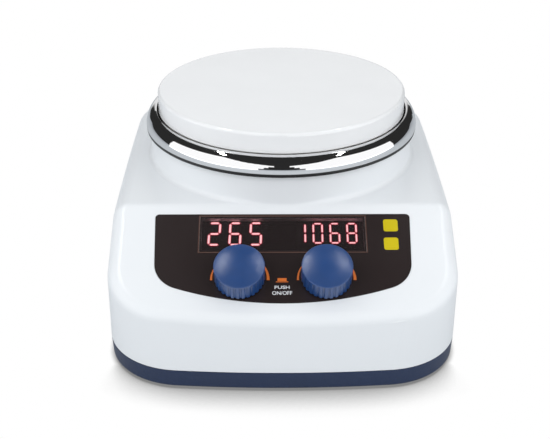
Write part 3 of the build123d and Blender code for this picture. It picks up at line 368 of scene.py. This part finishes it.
dress(finish("mica_sheet", (0.50, 0.44, 0.34), 0.25, 0.5, grain_size=0.004, grain_depth=3e-5,
             drift_size=0.006, shade=0.25), "heater_element")
dress(finish("ceramic_felt", (0.80, 0.78, 0.72), 0.85, 0.98, grain_size=0.0012,
             grain_depth=2e-4, drift_size=0.01, shade=0.1, stretch=(1, 1, 4)), "insulation_pad")
dress(finish("bisque_ceramic", (0.80, 0.78, 0.73), 0.5, 0.66, grain_size=0.0006,
             grain_depth=1e-5, shade=0.04), "plate_standoffs")
dress(finish("brushed_pan", (0.56, 0.56, 0.57), 0.22, 0.4, grain_size=0.0006,
             grain_depth=4e-6, shade=0.06, stretch=(0.05, 1, 1), Metallic=1.0),
      "heat_shield", "heater_clamp")
dress(bright_steel, "clamp_screws", "plate_screws", "plate_sensor")
black_moulding = finish("black_moulding", (0.02, 0.02, 0.022), 0.34, 0.48, grain_size=0.0007,
                        grain_depth=8e-6, shade=0.08)
dress(black_moulding, "thermal_cutoff")

# ---- Stirring drive ----
# An induction motor hangs under a steel bracket on four pillars: a stack of thin steel sheets with
# copper windings in a die-cast can. Its shaft turns two nickel-plated magnets under the plate.
dress(banded(finish("stator_sheets", (0.34, 0.34, 0.36), 0.32, 0.5, grain_size=0.0008,
                    grain_depth=1e-5, shade=0.12, drift_size=0.01, Metallic=1.0),
             "Z", 0.0006, (0.10, 0.095, 0.09), 1.5), "motor_stator", "rotor_core")
dress(banded(finish("copper_windings", (0.58, 0.22, 0.08), 0.25, 0.42, grain_size=0.0007,
                    grain_depth=6e-5, shade=0.2, drift_size=0.008, stretch=(1, 1, 1),
                    Metallic=0.85, Coat_Weight=0.5),
             "Z", 0.0007, (0.22, 0.06, 0.02), 2.5), "motor_windings")
cast_metal = finish("die_cast", (0.60, 0.60, 0.61), 0.34, 0.52, grain_size=0.0009,
                    grain_depth=2.5e-5, shade=0.06, Metallic=1.0)
dress(cast_metal, "motor_can", "motor_end_cap", "magnet_carrier")
dress(finish("bright_nickel", (0.68, 0.65, 0.58), 0.08, 0.16, grain_size=0.001, grain_depth=2e-6,
             shade=0.03, Metallic=1.0), "drive_magnets")
dress(bright_steel, "carrier_screw", "motor_shaft", "motor_bearings", "motor_bracket",
      "bracket_pillars", "motor_screws")
dress(finish("grommet_rubber", (0.02, 0.02, 0.02), 0.6, 0.8, grain_size=0.0006,
             grain_depth=1e-5, shade=0.2, drift_size=0.004), "pillar_grommets")

# ---- Boards ----
# Two glass-fibre boards: a black one holds the readouts and rotary encoders behind the panel, and
# a green one the mains parts on the floor. A flat cable joins them.
mask_color, bare_color, track_color = (0.012, 0.10, 0.035), (0.010, 0.085, 0.03), (0.05, 0.21, 0.09)
mask_green = finish("board_mask", mask_color, 0.22, 0.36, grain_size=0.0008,
                    grain_depth=4e-6, shade=0.08, Coat_Weight=0.3)
board_look = mask_green.node_tree.nodes["look"]
tracks = mask_green.node_tree.nodes.new("ShaderNodeTexBrick")
for socket, value in (("Scale", 90), ("Mortar Size", 0.035), ("Mortar Smooth", 0.2),
                      ("Color1", (*mask_color, 1)), ("Color2", (*bare_color, 1)),
                      ("Mortar", (*track_color, 1))):
    tracks.inputs[socket].default_value = value
mask_green.node_tree.links.new(mask_green.node_tree.nodes["lay"].outputs[0],
                               tracks.inputs["Vector"])
mask_green.node_tree.links.new(tracks.outputs["Color"], board_look.inputs["Color"])
dress(mask_green, "power_board")
dress(finish("black_mask", (0.010, 0.0098, 0.0095), 0.32, 0.46, grain_size=0.0008,
             grain_depth=4e-6, shade=0.08), "display_board")
dress(banded(finish("core_sheets", (0.30, 0.29, 0.28), 0.34, 0.5, grain_size=0.0008,
                    grain_depth=1e-5, shade=0.1, drift_size=0.01, Metallic=1.0),
             "X", 0.0007, (0.09, 0.085, 0.08), 1.5), "transformer")
dress(finish("capacitor_sleeve", (0.015, 0.017, 0.03), 0.22, 0.34, grain_size=0.002,
             grain_depth=1e-5, shade=0.1, drift_size=0.008), "capacitors")
dress(finish("relay_case", (0.03, 0.09, 0.30), 0.3, 0.42, grain_size=0.0007, grain_depth=5e-6,
             shade=0.04), "relay")
dress(finish("black_anodised", (0.05, 0.05, 0.055), 0.3, 0.45, grain_size=0.0005,
             grain_depth=4e-6, shade=0.06, stretch=(1, 1, 0.05), Metallic=0.9), "heat_sink")
dress(banded(finish("flat_cable", (0.42, 0.42, 0.44), 0.4, 0.52, grain_size=0.002,
                    grain_depth=4e-5, shade=0.03), "X", 0.00127, (0.22, 0.22, 0.23), 4),
      "ribbon_cable")
dress(black_moulding, "ribbon_connectors", "heat_encoder", "stir_encoder")
dress(bright_steel, "board_screws", "encoder_nuts")
dress(cast_metal, "heat_plunger", "stir_plunger", "heat_shaft", "stir_shaft")

# ---- Panel label ----
# A dark polycarbonate film, stuck into a shallow recess of the slope. Printed on it are a thin
# frame round the display, an arc by each knob, the push mark and two yellow pads.
film_brown, print_thickness = (0.0242, 0.0165, 0.0163), 0.00004
dress(finish("printed_film", film_brown, 0.2, 0.26, grain_size=0.0005, grain_depth=3e-6,
             shade=0.03), "panel_overlay")

across = Vector((1, 0, 0))
panel_normal = Vector(joints["heat_turn"]["axis"])
up_slope = panel_normal.cross(across)
knob_line = Vector((0, *joints["heat_turn"]["pos_m"][1:]))
panel_turn = Matrix((across, up_slope, panel_normal)).transposed().to_4x4()
panel = Matrix.Translation(knob_line) @ panel_turn
film_top = max((panel.inverted() @ vertex.co).z for vertex in nodes["panel_overlay"].data.vertices)
print_sink = 0.00001


def begin(name, add, **sizes):
    """Adds a primitive with nothing else selected, and opens it for editing."""
    bpy.ops.object.select_all(action="DESELECT")
    add(**sizes)
    piece = bpy.context.object
    piece.name = piece.data.name = name
    bpy.ops.object.mode_set(mode="EDIT")
    return piece


def choose(piece, kind, test):
    """Selects the vertices, edges or faces whose middle passes a test."""
    bpy.ops.mesh.select_mode(type=kind)
    bpy.ops.mesh.select_all(action="DESELECT")
    mesh = bmesh.from_edit_mesh(piece.data)
    for part in {"VERT": mesh.verts, "EDGE": mesh.edges, "FACE": mesh.faces}[kind]:
        ends = [part] if kind == "VERT" else part.verts
        middle = sum((end.co for end in ends), Vector()) / len(ends)
        if test(middle):
            part.select_set(True)
    mesh.select_flush_mode()
    bmesh.update_edit_mesh(piece.data)


def thicken(piece, depth):
    """Closes the edit and gives the flat piece an even thickness towards its front."""
    bpy.ops.mesh.select_all(action="SELECT")
    bpy.ops.mesh.normals_make_consistent(inside=False)
    bpy.ops.object.mode_set(mode="OBJECT")
    if piece.data.polygons[0].normal.z < 0:
        piece.data.flip_normals()
    wall = piece.modifiers.new("thickness", "SOLIDIFY")
    wall.thickness, wall.offset = depth, 1
    bpy.ops.object.modifier_apply(modifier=wall.name)


def settle(piece, place, material, body):
    """Moves a finished piece's mesh into place and says what it is made of and rides on."""
    piece.data.transform(piece.matrix_world)
    piece.matrix_world = Matrix.Identity(4)
    piece.data.transform(place)
    piece.data.materials.clear()
    piece.data.materials.append(material)
    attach(piece, body)


film_face = panel @ Matrix.Translation((0, 0, film_top - print_sink))
orange_ink = finish("orange_ink", (0.76, 0.17, 0.018), 0.3, 0.4, grain_size=0.0005,
                    grain_depth=2e-6, shade=0.04)
brown_ink = finish("brown_ink", (0.10, 0.048, 0.036), 0.3, 0.4, grain_size=0.0005,
                   grain_depth=2e-6, shade=0.08)
pale_ink = finish("pale_ink", (0.80, 0.80, 0.82), 0.32, 0.42, grain_size=0.0005,
                  grain_depth=2e-6, shade=0.04)
yellow_ink = finish("yellow_ink", (0.60, 0.48, 0.001), 0.2, 0.3, grain_size=0.0005,
                    grain_depth=2e-6, shade=0.04)

glass = [panel.inverted() @ vertex.co for vertex in nodes["display_window"].data.vertices]
window_half = max(point.x for point in glass)
window_top, window_foot = max(point.y for point in glass), min(point.y for point in glass)
window_middle = (window_top + window_foot) / 2
frame_gap, frame_line = 0.0001, 0.00055
frame_width = 2 * (window_half + frame_gap + frame_line)
frame_height = window_top - window_foot + 2 * (frame_gap + frame_line)
display_frame = begin("display_frame", bpy.ops.mesh.primitive_plane_add, size=1,
                      location=(0, window_middle, 0))
bpy.ops.transform.resize(value=(frame_width, frame_height, 1))
bpy.ops.mesh.inset(thickness=frame_line)
bpy.ops.mesh.delete(type="FACE")
thicken(display_frame, print_thickness)
settle(display_frame, film_face, brown_ink, "stirrer_body")

# An arc is what is left of a disc after a smaller one a little to its side, above a level cut.
arc_outer, arc_inner = 0.0144, 0.0132
arc_shift, hole_shift, arc_drop, arc_foot = 0.0001, -0.0001, 0.0011, -0.0012
for name in ("heat", "stir"):
    arc = begin(f"{name}_arc", bpy.ops.mesh.primitive_circle_add, vertices=96, radius=arc_outer,
                location=(joints[f"{name}_turn"]["pos_m"][0] + arc_shift, -arc_drop, 0))
    bpy.ops.mesh.extrude_edges_move()
    bpy.ops.transform.resize(value=[arc_inner / arc_outer] * 3)
    bpy.ops.transform.translate(value=(hole_shift - arc_shift, arc_drop, 0))
    bpy.ops.mesh.select_all(action="SELECT")
    bpy.ops.mesh.bisect(plane_co=(0, arc_foot, 0), plane_no=(0, -1, 0), clear_outer=True)
    thicken(arc, print_thickness)
    settle(arc, film_face, orange_ink, "stirrer_body")

# The push mark is a block over a line, with the words for it below.
mark_x = -0.0005
block_width, block_height, block_y = 0.0044, 0.0017, -0.00095
line_width, line_height, line_y = 0.0060, 0.0004, -0.0022
for name, width, height, y, corner in (("push_block", block_width, block_height, block_y, 0.0002),
                                       ("push_line", line_width, line_height, line_y, 0.00012)):
    mark = begin(name, bpy.ops.mesh.primitive_plane_add, size=1, location=(mark_x, y, 0))
    bpy.ops.transform.resize(value=(width, height, 1))
    bpy.ops.mesh.bevel(offset=corner, segments=3, affect="VERTICES")
    thicken(mark, print_thickness)
    settle(mark, film_face, orange_ink, "stirrer_body")

letter_swell = 0.02
# name, words, width, height and place up the slope
for name, words, width, height, y in (("push_word", "PUSH", 0.0073, 0.00185, -0.00525),
                                      ("switch_words", "ON/OFF", 0.0096, 0.0021, -0.0084)):
    bpy.ops.object.select_all(action="DESELECT")
    bpy.ops.object.text_add()
    word = bpy.context.object
    word.name = name
    word.data.body = words
    word.data.align_x, word.data.align_y = "CENTER", "CENTER"
    word.data.offset = letter_swell
    bpy.ops.object.convert(target="MESH")
    word = bpy.context.object
    low = Vector([min(vertex.co[i] for vertex in word.data.vertices) for i in range(3)])
    high = Vector([max(vertex.co[i] for vertex in word.data.vertices) for i in range(3)])
    fit = Matrix.Diagonal((width / (high.x - low.x), height / (high.y - low.y), 1, 1))
    word.data.transform(Matrix.Translation((mark_x, y, 0)) @ fit
                        @ Matrix.Translation(-(low + high) / 2))
    bpy.ops.object.mode_set(mode="EDIT")
    thicken(word, print_thickness)
    settle(word, film_face, pale_ink, "stirrer_body")

pad_size, pad_corner = 0.0072, 0.0012
for name, x, y in (("upper_pad", 0.0539, 0.0306), ("lower_pad", 0.0536, 0.0197)):
    pad = begin(name, bpy.ops.mesh.primitive_plane_add, size=pad_size, location=(x, y, 0))
    bpy.ops.mesh.bevel(offset=pad_corner, segments=6, affect="VERTICES")
    thicken(pad, print_thickness)
    settle(pad, film_face, yellow_ink, "stirrer_body")

# ---- Display ----
# Two seven-segment lamp modules shine through a smoked acrylic window. A lit segment is a red bar
# with an almost white-hot middle. The window's border is printed black where it is glued.
smoke, smoke_cover = (0.025, 0.0185, 0.0185), 0.62
window_border, border_fade = 0.001, 0.0003
smoked = finish("smoked_window", smoke, 0.12, 0.2, grain_size=0.002, grain_depth=1e-6,
                shade=0.03)
tree = smoked.node_tree
into_panel = tree.nodes.new("ShaderNodeMapping")
into_panel.vector_type = "TEXTURE"
into_panel.inputs["Location"].default_value = panel @ Vector((0, window_middle, 0))
into_panel.inputs["Rotation"].default_value = panel_turn.to_euler()
parted = tree.nodes.new("ShaderNodeSeparateXYZ")
tree.links.new(tree.nodes["Texture Coordinate"].outputs["Object"], into_panel.inputs["Vector"])
tree.links.new(into_panel.outputs[0], parted.inputs[0])
edges = []
for axis, reach in (("X", window_half), ("Y", (window_top - window_foot) / 2)):
    distance = tree.nodes.new("ShaderNodeMath")
    distance.operation = "ABSOLUTE"
    near = tree.nodes.new("ShaderNodeMapRange")
    for socket, value in (("From Min", reach - window_border), ("To Min", smoke_cover),
                          ("From Max", reach - window_border + border_fade), ("To Max", 1)):
        near.inputs[socket].default_value = value
    tree.links.new(parted.outputs[axis], distance.inputs[0])
    tree.links.new(distance.outputs[0], near.inputs["Value"])
    edges.append(near.outputs[0])
cover = tree.nodes.new("ShaderNodeMath")
cover.operation = "MAXIMUM"
for socket, edge in zip(cover.inputs, edges):
    tree.links.new(edge, socket)
tree.links.new(cover.outputs[0], tree.nodes["Principled BSDF"].inputs["Alpha"])
dress(smoked, "display_window")
dress(finish("lamp_module", (0.010, 0.010, 0.0095), 0.5, 0.62, grain_size=0.0006,
             grain_depth=6e-6, shade=0.08), "heat_digits", "stir_digits")

lamp_rim = finish("lamp_rim", (0.25, 0.01, 0.03), 0.4, 0.5, grain_depth=1e-6)
lamp_heart = finish("lamp_heart", (0.7, 0.5, 0.5), 0.4, 0.5, grain_depth=1e-6)
for lamp_finish, color, strength in ((lamp_rim, (1.0, 0.02, 0.09), 2.4),
                                     (lamp_heart, (1.0, 0.5, 0.53), 8.0)):
    shader = lamp_finish.node_tree.nodes["Principled BSDF"]
    shader.inputs["Emission Color"].default_value = (*color, 1)
    shader.inputs["Emission Strength"].default_value = strength

segment_rim, segment_rise, segment_gap = 0.00026, 0.00012, 0.00012
lit = {"0": "abcdef", "1": "bc", "2": "abged", "5": "afgcd", "6": "afgedc", "8": "abcdefg"}
module_top = max((panel.inverted() @ vertex.co).z for vertex in nodes["heat_digits"].data.vertices)


def lamp_bar(name, length, thickness, turned):
    """A lit bar, pointed at both ends, with a brighter middle. It lies flat at the origin."""
    bar = begin(name, bpy.ops.mesh.primitive_plane_add, size=1)
    bpy.ops.transform.resize(value=(length - thickness, thickness, 1))
    for side in (-1, 1):
        choose(bar, "EDGE", lambda middle: side * middle.x > length / 4)
        bpy.ops.mesh.extrude_edges_move(
            TRANSFORM_OT_translate={"value": (side * thickness / 2, 0, 0)})
        bpy.ops.mesh.merge(type="CENTER")
    bpy.ops.mesh.select_mode(type="FACE")
    bpy.ops.mesh.select_all(action="SELECT")
    bpy.ops.mesh.dissolve_faces()
    bpy.ops.mesh.inset(thickness=segment_rim)
    thicken(bar, segment_rise)
    if turned:
        bar.data.transform(Matrix.Rotation(pi / 2, 4, "Z"))
    bar.data.materials.append(lamp_rim)
    bar.data.materials.append(lamp_heart)
    # the middle is the one six-sided face at the front
    for polygon in bar.data.polygons:
        if polygon.normal.z > 0.9 and polygon.loop_total == 6:
            polygon.material_index = 1
    return bar


# display, digits and their centres across, height of the row, cell width and height, bar, slant
for name, digits, row, cell_width, cell_height, thickness, slant in (
        ("heat", (("2", -0.0341), ("6", -0.0237), ("5", -0.0134)), 0.0277,
         0.00675, 0.0144, 0.0015, 0.03),
        ("stir", (("1", 0.0091), ("0", 0.01765), ("6", 0.02615), ("8", 0.03465)), 0.0280,
         0.0057, 0.0128, 0.00128, 0.0)):
    half_width, half_height = (cell_width - thickness) / 2, (cell_height - thickness) / 2
    level = lamp_bar("level_bar", 2 * half_width - 2 * segment_gap, thickness, False)
    upright = lamp_bar("upright_bar", half_height - 2 * segment_gap, thickness, True)
    bars = {"a": (level, 0, half_height), "g": (level, 0, 0), "d": (level, 0, -half_height),
            "b": (upright, half_width, half_height / 2),
            "c": (upright, half_width, -half_height / 2),
            "e": (upright, -half_width, -half_height / 2),
            "f": (upright, -half_width, half_height / 2)}
    lean = Matrix.Identity(4)
    lean[0][1] = slant
    row_face = panel @ Matrix.Translation((0, row, module_top - print_sink))
    bpy.ops.object.select_all(action="DESELECT")
    for digit, centre in digits:
        for letter in lit[digit]:
            bar, x, y = bars[letter]
            copy = bar.copy()
            copy.data = bar.data.copy()
            copy.data.transform(Matrix.Translation((centre, 0, 0)) @ lean
                                @ Matrix.Translation((x, y, 0)))
            copy.data.transform(row_face)
            bpy.context.scene.collection.objects.link(copy)
            copy.select_set(True)
            bpy.context.view_layer.objects.active = copy
    bpy.ops.object.join()
    reading = bpy.context.object
    reading.name = reading.data.name = f"{name}_reading"
    bpy.data.objects.remove(level)
    bpy.data.objects.remove(upright)
    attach(reading, "stirrer_body")

# ---- Knobs ----
# Each knob is one fluted blue moulding with a fine satin texture, pushed on the shaft of a rotary
# encoder. It turns without a stop, and presses in to switch its side on or off.
dress(finish("matt_blue", (0.009, 0.053, 0.198), 0.28, 0.34, grain_size=0.0005,
             grain_depth=4e-5, shade=0.05, drift_size=0.008, Specular_IOR_Level=0.9),
      "heat_knob", "stir_knob")

# ---- Rear fittings ----
# In the rear recess are a mains inlet with a fuse drawer, a black rocker switch and a socket for
# an outside probe. A tapped steel bush at the rear corner takes a support rod.
dress(black_moulding, "power_inlet", "fuse_drawer", "rocker_frame", "probe_socket")
dress(finish("rocker_gloss", (0.014, 0.014, 0.015), 0.16, 0.26, grain_size=0.001,
             grain_depth=2e-6, shade=0.05), "rocker_switch")
dress(finish("brass_pins", (0.70, 0.50, 0.20), 0.18, 0.3, grain_size=0.0004, grain_depth=3e-6,
             shade=0.08, Metallic=1.0), "inlet_pins")
dress(finish("fuse_tube", (0.78, 0.84, 0.82), 0.04, 0.1, grain_size=0.002, grain_depth=1e-6,
             shade=0.02, Transmission_Weight=0.7), "fuse")
dress(bright_steel, "rod_socket", "rod_nut")

# The rocker's marks are printed in white: a bar for on, a ring for off.
rocker_place = Vector(joints["mains_rock"]["pos_m"])
rocker_tilt = radians(joints["mains_rock"]["range_deg"][1] / 2)
rocker_reach, rocker_crown, rocker_dip = 0.008, 0.0052, 0.0009
mark_thickness = 0.00005
bar_width, bar_length, bar_corner = 0.0007, 0.0034, 0.0002
ring_radius, ring_hole = 0.0017, 0.62
white_fill = finish("white_fill", (0.72, 0.72, 0.74), 0.4, 0.5, grain_size=0.0005,
                    grain_depth=2e-6, shade=0.04)
face_tilt = atan2(rocker_dip, rocker_reach)
for name, side in (("on_bar", -1), ("off_ring", 1)):
    if name == "on_bar":
        mark = begin(name, bpy.ops.mesh.primitive_plane_add, size=1)
        bpy.ops.transform.resize(value=(bar_width, bar_length, 1))
        bpy.ops.mesh.bevel(offset=bar_corner, segments=3, affect="VERTICES")
    else:
        mark = begin(name, bpy.ops.mesh.primitive_circle_add, vertices=40, radius=ring_radius)
        bpy.ops.mesh.extrude_edges_move()
        bpy.ops.transform.resize(value=[ring_hole] * 3)
    thicken(mark, mark_thickness)
    # across the rocker, up it, and out of its face
    half_face = (Matrix.Rotation(-rocker_tilt, 4, "X")
                 @ Matrix.Translation((0, rocker_crown - rocker_dip / 2, side * rocker_reach / 2))
                 @ Matrix.Rotation(side * face_tilt, 4, "X")
                 @ Matrix(((-1, 0, 0, 0), (0, 0, 1, 0), (0, 1, 0, 0), (0, 0, 0, 1))))
    settle(mark, Matrix.Translation(rocker_place) @ half_face
           @ Matrix.Translation((0, 0, -print_sink)), white_fill, "mains_rocker")
